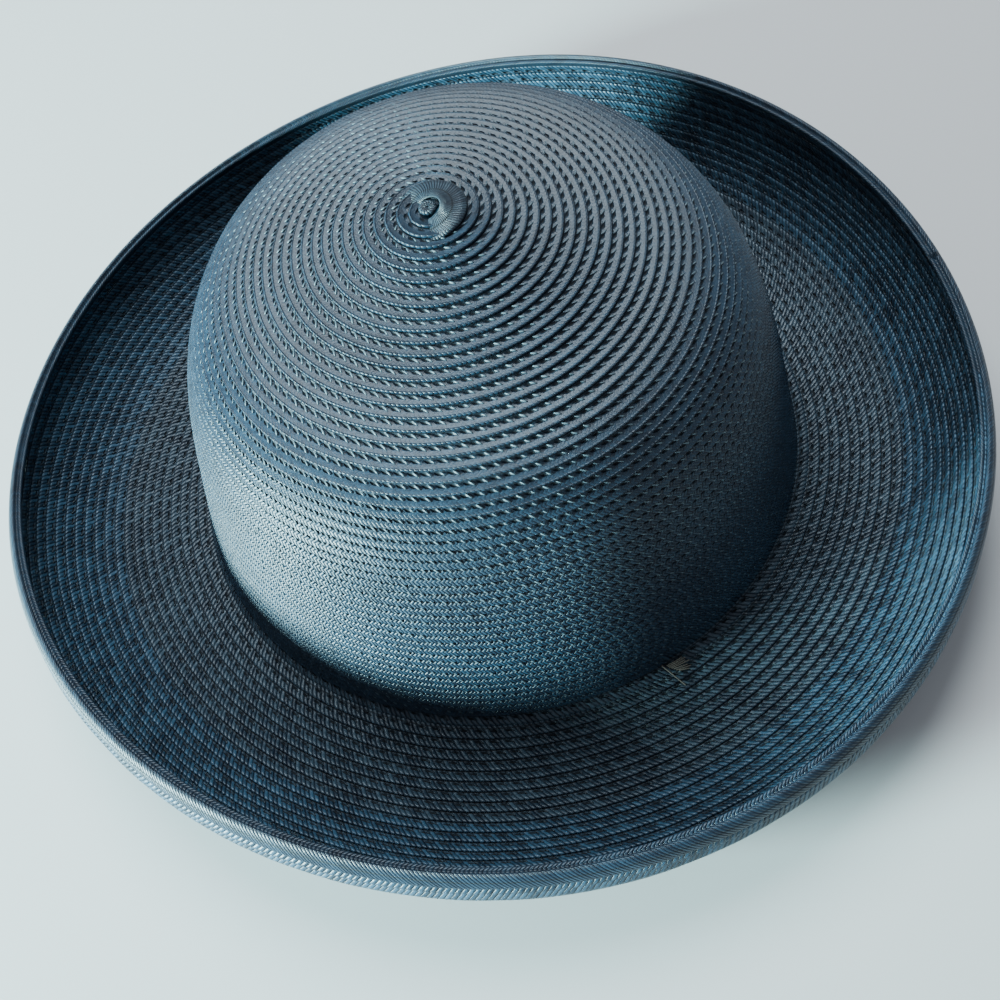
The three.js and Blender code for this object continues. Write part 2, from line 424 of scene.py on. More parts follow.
# %% The tree that sews a braid along a path
def build_braid_tree():
    tree = new_tree("Braid along a path")
    add_input(tree, "Path", "NodeSocketGeometry")
    add_input(tree, "Outline", "NodeSocketObject")
    add_input(tree, "Closed", "NodeSocketBool", False)
    add_input(tree, "Material", "NodeSocketMaterial")
    add_output(tree, "Braid", "NodeSocketGeometry")
    start = node(tree, "NodeGroupInput")
    end = node(tree, "NodeGroupOutput")
    points = node(tree, "GeometryNodeMeshToPoints", mode="VERTICES")
    order = node(tree, "GeometryNodeInputIndex")
    curve = node(tree, "GeometryNodePointsToCurves")
    lay = node(tree, "GeometryNodeSetCurveNormal", mode="FREE")
    outline = node(tree, "GeometryNodeObjectInfo")
    corners = node(tree, "GeometryNodeMeshToPoints", mode="VERTICES")
    ring = node(tree, "GeometryNodePointsToCurves")
    loop = node(tree, "GeometryNodeSetSplineCyclic")
    whole_path = node(tree, "GeometryNodeSetSplineCyclic")
    loop.inputs["Cyclic"].default_value = True
    sweep = node(tree, "GeometryNodeCurveToMesh")
    smooth = node(tree, "GeometryNodeSetShadeSmooth")
    plain = node(tree, "GeometryNodeRealizeInstances")
    paint = node(tree, "GeometryNodeSetMaterial")
    sweep.inputs["Fill Caps"].default_value = True
    join(tree, start.outputs["Path"], points.inputs["Mesh"])
    join(tree, points.outputs["Points"], curve.inputs["Points"])
    join(tree, order.outputs["Index"], curve.inputs["Weight"])
    join(tree, read_attribute(tree, "strand", "INT"), curve.inputs["Curve Group ID"])
    join(tree, curve.outputs["Curves"], lay.inputs["Curve"])
    join(tree, read_attribute(tree, "lay", "FLOAT_VECTOR"), lay.inputs["Normal"])
    join(tree, start.outputs["Outline"], outline.inputs["Object"])
    join(tree, lay.outputs["Curve"], whole_path.inputs["Geometry"])
    join(tree, start.outputs["Closed"], whole_path.inputs["Cyclic"])
    join(tree, whole_path.outputs["Geometry"], sweep.inputs["Curve"])
    join(tree, outline.outputs["Geometry"], corners.inputs["Mesh"])
    join(tree, corners.outputs["Points"], ring.inputs["Points"])
    join(tree, order.outputs["Index"], ring.inputs["Weight"])
    join(tree, ring.outputs["Curves"], loop.inputs["Geometry"])
    join(tree, loop.outputs["Geometry"], sweep.inputs["Profile Curve"])
    join(tree, sweep.outputs["Mesh"], smooth.inputs["Geometry"])
    join(tree, smooth.outputs["Geometry"], plain.inputs["Geometry"])
    join(tree, plain.outputs["Geometry"], paint.inputs["Geometry"])
    join(tree, start.outputs["Material"], paint.inputs["Material"])
    join(tree, paint.outputs["Geometry"], end.inputs["Braid"])
    return tree


braid_tree = build_braid_tree()
print("braid tree nodes:", len(braid_tree.nodes))

# %% [markdown]
# A path goes in as a mesh of loose points, because a mesh can carry named measures for
# each point. After the tree has run we keep only its result as a plain mesh.

# %% Paths in, plain meshes out
def path_object(name, points, **measures):
    mesh = bpy.data.meshes.new(name)
    mesh.from_pydata([tuple(point) for point in points], [], [])
    for label, values in measures.items():
        kind = "FLOAT_VECTOR" if values.ndim == 2 else "FLOAT"
        slot = mesh.attributes.new(label, kind, "POINT")
        field = "vector" if values.ndim == 2 else "value"
        slot.data.foreach_set(field, values.astype(np.float32).ravel())
    made = bpy.data.objects.new(name, mesh)
    bpy.context.scene.collection.objects.link(made)
    return made


def grow(source, tree, **inputs):
    """Runs a tree on an object and returns the result as a plain mesh object."""
    modifier = source.modifiers.new(tree.name, "NODES")
    modifier.node_group = tree
    for item in tree.interface.items_tree:
        if item.item_type == "SOCKET" and item.in_out == "INPUT" and item.name in inputs:
            modifier[item.identifier] = inputs[item.name]
    bpy.context.view_layer.update()
    graph = bpy.context.evaluated_depsgraph_get()
    mesh = bpy.data.meshes.new_from_object(source.evaluated_get(graph), depsgraph=graph)
    name = source.name
    spent = source.data
    bpy.data.objects.remove(source)
    bpy.data.meshes.remove(spent)
    mesh.name = name
    made = bpy.data.objects.new(name, mesh)
    bpy.context.scene.collection.objects.link(made)
    return made


def triangles(thing):
    return sum(len(face.vertices) - 2 for face in thing.data.polygons)

# %% [markdown]
# ## The braid's outline
#
# Cut across, the braid is a flat strip with a groove where the sewing thread pulls it
# down and a thin bead of straw along its outer edge. A table walks round that outline: how
# far across from the inner edge, and how high above the middle. The brim's braid is not
# pressed on a block, so its groove is shallower and its edge is plain.

# %% Outlines of the sewn braid
CROWN_OUTLINE = [
    # across, height
    (0.00, -0.1),
    (0.04, 0.8),
    (0.44, 0.95),
    (0.59, 0.35),
    (0.72, 0.95),
    (0.93, 1.0),
    (0.965, 1.2),
    (1.00, 0.4),
    (0.99, -0.6),
    (0.90, -0.9),
    (0.45, -1.0),
    (0.14, -1.25),
    (0.02, -0.9),
]
BRIM_OUTLINE = [
    # across, height
    (0.00, -0.1),
    (0.04, 0.8),
    (0.46, 0.9),
    (0.60, 0.4),
    (0.74, 1.0),
    (0.88, 1.15),
    (0.97, 0.9),
    (1.00, 0.2),
    (0.99, -0.6),
    (0.90, -0.9),
    (0.45, -1.0),
    (0.14, -1.25),
    (0.02, -0.9),
]


def outline_object(name, corners):
    """Points of a swept outline: height, place across, and the measure kept for material."""
    corners = np.array(corners)
    flat = np.stack([corners[:, 0], corners[:, 1], np.zeros(len(corners))], axis=1)
    return path_object(name, flat, across=corners[:, 2])


def braid_outline(name, table):
    return outline_object(name, [
        (height * BRAID_THICK / 2, (across - 0.5) * BRAID_WIDTH, across * BRAID_WIDTH)
        for across, height in table
    ])


crown_outline = braid_outline("crown_outline", CROWN_OUTLINE)
brim_outline = braid_outline("brim_outline", BRIM_OUTLINE)
print("outline corners:", len(crown_outline.data.vertices))

# %% [markdown]
# ## Dyed straw
#
# Each braid is plaited from flat strands that cross in a fishbone. On screen a strand is
# only a few dots wide, so the plait is drawn by the material, from the two measures that
# the sweep left on the mesh. The group below works out the height of the strands, the
# holes beside the stitches, painted dark as shade, and how light each strand is, with
# painted shade in the gaps between strands and along the line under each row. It is used
# for every kind of straw on the hat.

# %% Sums for shader trees
def calc(tree, operation, first, second=None, third=None, clamp=False):
    """One maths node; each term is a socket or a number."""
    made = node(tree, "ShaderNodeMath", operation=operation, use_clamp=clamp)
    for slot, term in enumerate((first, second, third)):
        if isinstance(term, (int, float)):
            made.inputs[slot].default_value = term
        elif term is not None:
            join(tree, term, made.inputs[slot])
    return made.outputs[0]


BELL_TOP = 1.4
BELL_SOFTNESS = 0.4


def bell(tree, value, centre, spread):
    """1 where value is at the centre, falling smoothly to 0 at `spread` away."""
    away = calc(tree, "SUBTRACT", value, centre)
    share = calc(tree, "DIVIDE", calc(tree, "ABSOLUTE", away), spread)
    left = calc(tree, "SUBTRACT", 1.0, share, clamp=True)
    return calc(tree, "SMOOTH_MIN", calc(tree, "MULTIPLY", left, BELL_TOP), 1.0, BELL_SOFTNESS)


def noise(tree, scale, detail, vector):
    made = node(tree, "ShaderNodeTexNoise")
    made.inputs["Scale"].default_value = scale
    made.inputs["Detail"].default_value = detail
    join(tree, vector, made.inputs["Vector"])
    return made.outputs["Fac"]

# %% [markdown]
# The strands lean away from a spine, the line on which they cross, and each has its own
# tone by chance. Every stitch leaves a hole, which is painted near black as shade. Where
# the row before lies on this one, a dark line runs along it, painted as that row's
# shadow. At the braid's outer edge the strands turn back, so the gaps between them are
# always deep there, even on straw that is ironed flat; there they are deepened in relief
# and darkened as painted shade.

# %% The plait group
CROWN_STITCH = 3.2 * MM
BRIM_STITCH = 4.2 * MM
STRAND_PITCH = 1.1 * MM
# Places and widths are shares of the braid's width, counted from its inner edge.
STITCH_ACROSS = 0.59
HOLE_ACROSS = STITCH_ACROSS - 0.01
HOLE_WIDTH = 0.10
CREVICE_ACROSS = 0.465
CREVICE_WIDTH = 0.045
EDGE_ACROSS = 0.97
EDGE_WIDTH = 0.08
# A hole's place and length are shares of a stitch, and it drifts along as it goes across.
HOLE_ALONG = 0.5
HOLE_LENGTH = 0.28
HOLE_DRIFT = 1.6
# Depths are shares of a strand's height; tones run from 0, dark, to 1, light.
STRAND_ROUNDING = 0.6
EDGE_DEPTH = 0.8
HOLE_DEPTH = 2.5
TONE_SPREAD = 0.5
TONE_LEAST = 0.25
# How much darker the gaps between strands are painted: painted shade.
GAP_SHADE = 0.6


def build_plait_group():
    tree = new_tree("Plaited straw", "ShaderNodeTree")
    add_input(tree, "Along", "NodeSocketFloat")
    add_input(tree, "Across", "NodeSocketFloat")
    add_input(tree, "Spine", "NodeSocketFloat", 0.72)
    add_input(tree, "Slant", "NodeSocketFloat", 1.0)
    add_input(tree, "Strand Pitch", "NodeSocketFloat", STRAND_PITCH)
    add_input(tree, "Stitch Pitch", "NodeSocketFloat", CROWN_STITCH)
    add_input(tree, "Hole Depth", "NodeSocketFloat", 1.0)
    add_input(tree, "Hole Width", "NodeSocketFloat", HOLE_WIDTH)
    # How dark the line under the row before is painted: painted shade.
    add_input(tree, "Crevice", "NodeSocketFloat", 0.8)
    add_input(tree, "Strand Depth", "NodeSocketFloat", 1.0)
    add_output(tree, "Height", "NodeSocketFloat")
    add_output(tree, "Shade", "NodeSocketFloat")
    add_output(tree, "Hole", "NodeSocketFloat")
    start = node(tree, "NodeGroupInput")
    end = node(tree, "NodeGroupOutput")
    along, across = start.outputs["Along"], start.outputs["Across"]

    share = calc(tree, "DIVIDE", across, BRAID_WIDTH)
    from_spine = calc(tree, "ABSOLUTE", calc(tree, "SUBTRACT", share, start.outputs["Spine"]))
    lean = calc(tree, "MULTIPLY", calc(tree, "MULTIPLY", from_spine, BRAID_WIDTH),
                start.outputs["Slant"])
    place = calc(tree, "DIVIDE", calc(tree, "SUBTRACT", along, lean),
                 start.outputs["Strand Pitch"])
    strand = calc(tree, "FLOOR", place)
    wave = calc(tree, "ABSOLUTE", calc(tree, "SINE", calc(tree, "MULTIPLY", place, math.pi)))
    ridge = calc(tree, "POWER", wave, STRAND_ROUNDING)

    chance = node(tree, "ShaderNodeTexWhiteNoise", noise_dimensions="2D")
    side = calc(tree, "GREATER_THAN", share, start.outputs["Spine"])
    pair = node(tree, "ShaderNodeCombineXYZ")
    join(tree, strand, pair.inputs["X"])
    join(tree, side, pair.inputs["Y"])
    join(tree, pair.outputs["Vector"], chance.inputs["Vector"])

    stitch = calc(tree, "DIVIDE", along, start.outputs["Stitch Pitch"])
    drift = calc(tree, "MULTIPLY", calc(tree, "SUBTRACT", share, STITCH_ACROSS), HOLE_DRIFT)
    phase = calc(tree, "FRACT", calc(tree, "SUBTRACT", stitch, drift))
    # Needle holes, painted dark as the shade inside them.
    hole_along = bell(tree, phase, HOLE_ALONG, HOLE_LENGTH)
    hole_across = bell(tree, share, HOLE_ACROSS, start.outputs["Hole Width"])
    hole = calc(tree, "MULTIPLY", hole_along, hole_across, clamp=True)
    hole = calc(tree, "MULTIPLY", hole, start.outputs["Hole Depth"], clamp=True)
    # Painted shadow of the row before, along the line where it lies on this one.
    crevice_shade = bell(tree, share, CREVICE_ACROSS, CREVICE_WIDTH)
    crevice_shade = calc(tree, "MULTIPLY", crevice_shade, start.outputs["Crevice"], clamp=True)

    # At the outer edge the gaps stay full depth, in relief and in painted shade.
    edge = calc(tree, "MULTIPLY", bell(tree, share, EDGE_ACROSS, EDGE_WIDTH), EDGE_DEPTH)
    cut = calc(tree, "MAXIMUM", start.outputs["Strand Depth"], edge)
    shade = calc(tree, "MULTIPLY_ADD", chance.outputs["Value"], TONE_SPREAD, TONE_LEAST)
    # Gaps between strands painted darker: painted shade, added to each strand's own tone.
    gap_shade = calc(tree, "MULTIPLY", calc(tree, "SUBTRACT", ridge, 1.0), cut)
    shade = calc(tree, "MULTIPLY_ADD", gap_shade, GAP_SHADE, shade)
    height = calc(tree, "MULTIPLY", ridge, cut)
    height = calc(tree, "MULTIPLY_ADD", hole, -HOLE_DEPTH, height)
    join(tree, height, end.inputs["Height"])
    join(tree, shade, end.inputs["Shade"])
    # Holes and the line under the row before, both painted shade.
    join(tree, calc(tree, "MAXIMUM", hole, crevice_shade), end.inputs["Hole"])
    return tree


plait_group = build_plait_group()
print("plait group nodes:", len(plait_group.nodes))

# %% [markdown]
# Dye takes unevenly, so soft patches and the strands' own tones decide how light the straw
# is, with the plait's painted shade added on top, and fine fibres change its gloss a
# little. Pictures of straw could be wrapped round the hat, but they would not follow the
# spiral. On the crown's top, which is ironed on a block, the strands fade until they are
# almost flat. Thread is a simpler twist of fuzz.

# %% Straw materials
PRESSED_STRANDS = 0.12
# Near black painted into holes and under each row: painted shade, not a colour of the straw.
HOLE_SHADE_COLOUR = (0.001, 0.002, 0.004)
HOLE_ROUGHNESS = 0.5
PATCH_SCALE = 45
PATCH_DETAIL = 3
PATCH_TONE = 0.5
TONE_SHIFT = 0.25
FIBRE_SCALE = 2600
FINE_DETAIL = 2
FIBRE_ROUGHNESS = 0.25
FIBRE_RELIEF = 0.35
STRAW_ROUGHNESS = 0.27
STRAW_RELIEF = 0.16 * MM
FUZZ_ROUGHNESS = 0.3
FUZZ_RELIEF = 0.05 * MM


def attribute(tree, name):
    reader = node(tree, "ShaderNodeAttribute", attribute_name=name)
    return reader.outputs["Fac"]


def mix_colour(tree, factor, first, second):
    made = node(tree, "ShaderNodeMix", data_type="RGBA")
    join(tree, factor, made.inputs["Factor"])
    for socket, colour in (("A", first), ("B", second)):
        target = [item for item in made.inputs if item.name == socket and item.type == "RGBA"][0]
        if isinstance(colour, tuple):
            target.default_value = (*colour, 1)
        else:
            join(tree, colour, target)
    return [item for item in made.outputs if item.type == "RGBA"][0]


def straw_material(name, dark, light, relief=STRAW_RELIEF, pressed=None, **plaiting):
    """Plaited straw; `plaiting` sets the plait group's inputs, `pressed` fades strands out.

    `pressed` is a pair of heights: the strands are full below the first and almost flat
    above the second.
    """
    material = bpy.data.materials.new(name)
    material.use_nodes = True
    tree = material.node_tree
    shader = tree.nodes["Principled BSDF"]
    plait = node(tree, "ShaderNodeGroup", node_tree=plait_group)
    for label, value in plaiting.items():
        plait.inputs[label.replace("_", " ").title()].default_value = value
    join(tree, attribute(tree, "along"), plait.inputs["Along"])
    join(tree, attribute(tree, "across"), plait.inputs["Across"])

    spot = node(tree, "ShaderNodeTexCoord").outputs["Object"]
    if pressed:
        split = node(tree, "ShaderNodeSeparateXYZ")
        join(tree, spot, split.inputs["Vector"])
        fade = node(tree, "ShaderNodeMapRange")
        fade.inputs["From Min"].default_value = pressed[0]
        fade.inputs["From Max"].default_value = pressed[1]
        fade.inputs["To Min"].default_value = 1.0
        fade.inputs["To Max"].default_value = PRESSED_STRANDS
        join(tree, split.outputs["Z"], fade.inputs["Value"])
        join(tree, fade.outputs["Result"], plait.inputs["Strand Depth"])
    patchy = noise(tree, PATCH_SCALE, PATCH_DETAIL, spot)
    fibres = noise(tree, FIBRE_SCALE, FINE_DETAIL, spot)
    # The plait's Shade holds each strand's own tone plus painted shade in the gaps between
    # strands.
    shade = calc(tree, "SUBTRACT", plait.outputs["Shade"], TONE_SHIFT)
    tone = calc(tree, "MULTIPLY_ADD", patchy, PATCH_TONE, shade, clamp=True)
    colour = mix_colour(tree, tone, dark, light)
    # Painted shade: holes and the line under each row go near black.
    colour = mix_colour(tree, plait.outputs["Hole"], colour, HOLE_SHADE_COLOUR)
    join(tree, colour, shader.inputs["Base Color"])

    rough = calc(tree, "MULTIPLY_ADD", fibres, FIBRE_ROUGHNESS, STRAW_ROUGHNESS)
    rough = calc(tree, "MULTIPLY_ADD", plait.outputs["Hole"], HOLE_ROUGHNESS, rough, clamp=True)
    join(tree, rough, shader.inputs["Roughness"])

    relief_height = calc(tree, "MULTIPLY_ADD", fibres, FIBRE_RELIEF, plait.outputs["Height"])
    bump = node(tree, "ShaderNodeBump")
    bump.inputs["Strength"].default_value = 1.0
    bump.inputs["Distance"].default_value = relief
    join(tree, relief_height, bump.inputs["Height"])
    join(tree, bump.outputs["Normal"], shader.inputs["Normal"])
    return material


def thread_material(name, dark, light, roughness, twist):
    """Twisted thread or bare fibre; `twist` is how many fine turns fit in a metre."""
    material = bpy.data.materials.new(name)
    material.use_nodes = True
    tree = material.node_tree
    shader = tree.nodes["Principled BSDF"]
    spot = node(tree, "ShaderNodeTexCoord").outputs["Object"]
    fuzz = noise(tree, twist, FINE_DETAIL, spot)
    join(tree, mix_colour(tree, fuzz, dark, light), shader.inputs["Base Color"])
    rough = calc(tree, "MULTIPLY_ADD", fuzz, FUZZ_ROUGHNESS, roughness)
    join(tree, rough, shader.inputs["Roughness"])
    bump = node(tree, "ShaderNodeBump")
    bump.inputs["Distance"].default_value = FUZZ_RELIEF
    join(tree, fuzz, bump.inputs["Height"])
    join(tree, bump.outputs["Normal"], shader.inputs["Normal"])
    return material


NAVY_DARK = (0.003, 0.008, 0.018)
NAVY_LIGHT = (0.022, 0.056, 0.092)
SLATE_LIGHT = (0.055, 0.093, 0.124)
# The roll's light tone is brighter and bluer than the floor's: painted light for the glow on the
# upturned walls and rim rows.
LIT_WALL_BLUE = (0.048, 0.118, 0.185)
FADED_LIGHT = (0.05, 0.085, 0.11)
CROWN_RELIEF = 0.2 * MM
BRIM_RELIEF = 0.26 * MM
IRONED_HEIGHTS = (0.060, 0.088)
BRIM_PLAIT = {
    "spine": 0.0,
    "slant": 0.7,
    "strand_pitch": 1.5 * MM,
    "stitch_pitch": BRIM_STITCH,
    "hole_width": 0.075,
}
THREADS = {
    # name: dark colour, light colour, roughness, fine turns in a metre
    # The crown's thread is painted lighter than the brim's: a painted highlight on the crown's
    # stitches.
    "crown_thread": ((0.05, 0.08, 0.10), (0.16, 0.22, 0.25), 0.25, 1800),
    "brim_thread": ((0.006, 0.012, 0.02), (0.03, 0.045, 0.055), 0.35, 1800),
    "frayed_thread": ((0.045, 0.03, 0.022), (0.15, 0.12, 0.10), 0.6, 1500),
}
crown_straw = straw_material("crown_straw", NAVY_DARK, NAVY_LIGHT, CROWN_RELIEF,
                             pressed=IRONED_HEIGHTS, spine=0.79)
floor_straw = straw_material("floor_straw", NAVY_DARK, SLATE_LIGHT, BRIM_RELIEF, **BRIM_PLAIT)
# Same straw as the floor, painted brighter and bluer on the roll: painted light.
roll_straw = straw_material("roll_straw", NAVY_DARK, LIT_WALL_BLUE, BRIM_RELIEF, **BRIM_PLAIT)
edge_straw = straw_material("edge_straw", NAVY_DARK, NAVY_LIGHT, spine=1.2, slant=1.2,
                            hole_depth=0.0)
start_straw = straw_material("start_straw", NAVY_DARK, FADED_LIGHT, spine=0.5, slant=0.25,
                             strand_pitch=0.55 * MM, hole_depth=0.0)
threads = {name: thread_material(name, *settings) for name, settings in THREADS.items()}
print("materials:", len(bpy.data.materials))

# %% [markdown]
# ## Four stretches of braid
#
# The real braid runs on from tip to rim. Here it is cut into four stretches, one for each
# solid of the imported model, because each stretch stands for its solid. Near the tip the
# turns are tight, so the path takes shorter steps there.

# %% The sewn braid
GROUND_GAP = 0.05 * MM


def turns_from_end_to_end(first, last, spacing):
    """Turn numbers and lengths, the spacing stretched a little so that both ends are met."""
    begin, end = np.interp([first, last], fine_turns, fine_lengths)
    lengths = np.linspace(begin, end, math.ceil((end - begin) / spacing) + 1)
    return np.interp(lengths, fine_lengths, fine_turns), lengths


def press_on_ground(thing):
    """The underside of a resting brim is pressed flat where it meets the ground."""
    mesh = thing.data
    spots = np.empty(len(mesh.vertices) * 3, dtype=np.float32)
    mesh.vertices.foreach_get("co", spots)
    spots = spots.reshape(-1, 3)
    spots[:, 2] = np.maximum(spots[:, 2], GROUND_GAP)
    mesh.vertices.foreach_set("co", spots.ravel())
    mesh.update()


def sew_braid(name, first, last, spacing, outline, material):
    turns, lengths = turns_from_end_to_end(first, last, spacing)
    points = braid_place(turns, BRAID_WIDTH / 2, -BRAID_THICK / 2)
    lay = braid_normals(turns, points)
    source = path_object(name, points, lay=lay, along=lengths)
    made = grow(source, braid_tree, Outline=outline, Closed=False, Material=material)
    press_on_ground(made)
    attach(made, "root")
    return made


STRETCHES = [
    # piece, node, first turn, last turn, spacing, outline, material
    ("tip_braid", "crown_tip", FIRST_TURN, TIP_ROWS, 1.4 * MM, crown_outline, crown_straw),
    ("side_braid", "crown_side", TIP_ROWS, FOOT_TURN, 2.2 * MM, crown_outline, crown_straw),
    ("floor_braid", "brim_floor", FOOT_TURN, FLOOR_END, 2.0 * MM, brim_outline, floor_straw),
    ("roll_braid", "brim_roll", FLOOR_END, LAST_TURN, 2.1 * MM, brim_outline, roll_straw),
]
for piece, solid, first, last, spacing, outline, material in STRETCHES:
    made = sew_braid(piece, first, last, spacing, outline, material)
    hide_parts(solid)
    print(piece, "triangles:", triangles(made))

# No other sweep needs these two outlines.
bpy.data.objects.remove(crown_outline)
bpy.data.objects.remove(brim_outline)

# %% [markdown]
# ## Stitches
#
# A machine sews each row to the one before, with a stitch every few millimetres. Each
# stitch shows as a short slanting dash, and beside it the needle has left a hole, which
# the material paints dark as shade. A second small tree puts one tiny lozenge on every
# point of a path, turned to lie on the straw. A ball of twenty faces, flattened, is all
# that such a dash needs.

# %% The tree that lays stitches
def build_stitch_tree():
    tree = new_tree("Stitches on a path")
    add_input(tree, "Path", "NodeSocketGeometry")
    add_input(tree, "Length", "NodeSocketFloat", 2.0 * MM)
    add_input(tree, "Width", "NodeSocketFloat", 0.5 * MM)
    add_input(tree, "Height", "NodeSocketFloat", 0.34 * MM)
    add_input(tree, "Unevenness", "NodeSocketFloat", 0.25)
    add_input(tree, "Seed", "NodeSocketInt", 3)
    add_input(tree, "Material", "NodeSocketMaterial")
    add_output(tree, "Stitches", "NodeSocketGeometry")
    start = node(tree, "NodeGroupInput")
    end = node(tree, "NodeGroupOutput")
    ball = node(tree, "GeometryNodeMeshIcoSphere")
    ball.inputs["Radius"].default_value = 0.5
    ball.inputs["Subdivisions"].default_value = 1
    shape = node(tree, "ShaderNodeCombineXYZ")
    stretch = node(tree, "GeometryNodeTransform")
    turn = node(tree, "FunctionNodeAxesToRotation", primary_axis="Z", secondary_axis="X")
    spread = node(tree, "FunctionNodeRandomValue", data_type="FLOAT")
    least = node(tree, "ShaderNodeMath", operation="SUBTRACT")
    most = node(tree, "ShaderNodeMath", operation="ADD")
    least.inputs[0].default_value = 1.0
    most.inputs[0].default_value = 1.0
    place = node(tree, "GeometryNodeInstanceOnPoints")
    smooth = node(tree, "GeometryNodeSetShadeSmooth")
    plain = node(tree, "GeometryNodeRealizeInstances")
    paint = node(tree, "GeometryNodeSetMaterial")
    for label, axis in (("Length", "X"), ("Width", "Y"), ("Height", "Z")):
        join(tree, start.outputs[label], shape.inputs[axis])
    join(tree, ball.outputs["Mesh"], stretch.inputs["Geometry"])
    join(tree, shape.outputs["Vector"], stretch.inputs["Scale"])
    join(tree, read_attribute(tree, "lay", "FLOAT_VECTOR"), turn.inputs["Primary Axis"])
    join(tree, read_attribute(tree, "heading", "FLOAT_VECTOR"), turn.inputs["Secondary Axis"])
    join(tree, start.outputs["Unevenness"], least.inputs[1])
    join(tree, start.outputs["Unevenness"], most.inputs[1])
    floats = [item for item in spread.inputs if item.type == "VALUE"]
    join(tree, least.outputs[0], floats[0])
    join(tree, most.outputs[0], floats[1])
    join(tree, start.outputs["Seed"], spread.inputs["Seed"])
    join(tree, start.outputs["Path"], place.inputs["Points"])
    join(tree, stretch.outputs["Geometry"], place.inputs["Instance"])
    join(tree, turn.outputs["Rotation"], place.inputs["Rotation"])
    random_size = [item for item in spread.outputs if item.type == "VALUE"][0]
    join(tree, random_size, place.inputs["Scale"])
    join(tree, place.outputs["Instances"], plain.inputs["Geometry"])
    join(tree, plain.outputs["Geometry"], smooth.inputs["Geometry"])
    join(tree, smooth.outputs["Geometry"], paint.inputs["Geometry"])
    join(tree, start.outputs["Material"], paint.inputs["Material"])
    join(tree, paint.outputs["Geometry"], end.inputs["Stitches"])
    return tree


stitch_tree = build_stitch_tree()
print("stitch tree nodes:", len(stitch_tree.nodes))

# %% [markdown]
# Every stitch goes through the braid and catches the inner edge of the next row, which lies
# under it. So the stitches follow the same spiral as the braid, set in from its outer edge,
# and they are spaced like the holes that the material draws, each a little ahead of its
# hole. The crown's thread is painted lighter than the brim's, as a painted highlight on the
# crown's stitches; the brim's thread is dark.

# %% Stitches on crown and brim
STITCH_SLANT = math.radians(37)
STITCH_AHEAD = 1.1 * MM
STITCH_LIFT = 0.06 * MM
FIRST_STITCH = FIRST_TURN + 1.9
CROWN_DASH = 2.0 * MM
BRIM_DASH = 1.8 * MM
TINY_TURN = 1e-4


def turns_along(first, last, spacing, start):
    """Turn numbers that step evenly along the braid, beginning a length `start` in."""
    begin, end = np.interp([first, last], fine_turns, fine_lengths)
    return np.interp(np.arange(begin + start, end, spacing), fine_lengths, fine_turns)


def stitch_points(turns):
    return braid_place(turns, (1 - STITCH_ACROSS) * BRAID_WIDTH, STITCH_LIFT)


def lay_stitches(name, first, last, pitch, material, length):
    begin = np.interp(first, fine_turns, fine_lengths)
    start = (HOLE_ALONG * pitch + STITCH_AHEAD - begin) % pitch
    turns = turns_along(first, last, pitch, start)
    points = stitch_points(turns)
    run = stitch_points(turns + TINY_TURN) - points
    run /= np.linalg.norm(run, axis=1, keepdims=True)
    lay = braid_out(turns)
    side = np.cross(run, lay)
    heading = run * math.cos(STITCH_SLANT) + side * math.sin(STITCH_SLANT)
    source = path_object(name, points, lay=lay, heading=heading)
    made = grow(source, stitch_tree, Length=length, Material=material)
    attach(made, "root")
    print(name, "stitches:", len(points), "triangles:", triangles(made))


# The crown's stitches get the lighter thread, a painted highlight.
lay_stitches("crown_stitches", FIRST_STITCH, FOOT_TURN, CROWN_STITCH, threads["crown_thread"],
             CROWN_DASH)
lay_stitches("brim_stitches", FOOT_TURN, LAST_STITCH, BRIM_STITCH, threads["brim_thread"],
             BRIM_DASH)

# %% [markdown]
# ## The rim
#
# The last braid is folded over the rim, so it shows on both faces. A folded braid follows
# a closed ring, so the same sweep makes it with a hooked outline: a long leg on the inside
# of the brim, a round crest, and a shorter leg outside. From here on each outline belongs
# to one piece, so it is made for its sweep and removed after it.

# %% Folded edge braid
EDGE_OUTLINE = [
    # height above the straw's face, place beyond the rim, measure across the braid, in mm
    (-0.20, -5.6, 0.0),
    (0.45, -5.4, 0.2),
    (0.75, -4.6, 1.0),
    (0.70, -2.6, 2.2),
    (0.85, -1.1, 3.2),
    (0.70, -0.2, 4.0),
    (0.10, 0.15, 4.6),
    (-0.40, -0.5, 5.2),
    (-0.80, -1.7, 5.4),
    (-1.25, -0.5, 5.2),
    (-1.95, -0.5, 4.4),
    (-2.45, -1.6, 3.4),
    (-2.50, -2.9, 2.2),
    (-2.35, -4.1, 1.0),
    (-1.80, -4.7, 0.2),
    (-1.00, -4.4, 0.0),
]
EDGE_SPACING = 1.6 * MM
RIM_SAMPLES = 721


def sweep_once(name, points, lay, along, outline, closed, material):
    """Sweeps an outline that only one piece has, along that piece's path."""
    source = path_object(name, points, lay=lay, along=along)
    made = grow(source, braid_tree, Outline=outline, Closed=closed, Material=material)
    bpy.data.objects.remove(outline)
    return made


def rim_ring():
    """Points spaced evenly round the rim, their outward directions and the length so far."""
    rough_turns = np.linspace(0, 2 * np.pi, RIM_SAMPLES)
    run = lengths_along(straw_point(np.full(RIM_SAMPLES, FULL_WAY), rough_turns))
    count = int(run[-1] / EDGE_SPACING)
    lengths = np.arange(count) * run[-1] / count
    turns = np.interp(lengths, run, rough_turns)
    way = np.full(count, FULL_WAY)
    return straw_point(way, turns), straw_out(way, turns), lengths


def fold_edge():
    points, out, lengths = rim_ring()
    outline = outline_object("edge_outline", np.array(EDGE_OUTLINE) * MM)
    made = sweep_once("rim_braid", points, out, lengths, outline, True, edge_straw)
    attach(made, "root")
    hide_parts("edge_braid")
    return made


rim_braid = fold_edge()
print("rim braid triangles:", triangles(rim_braid))

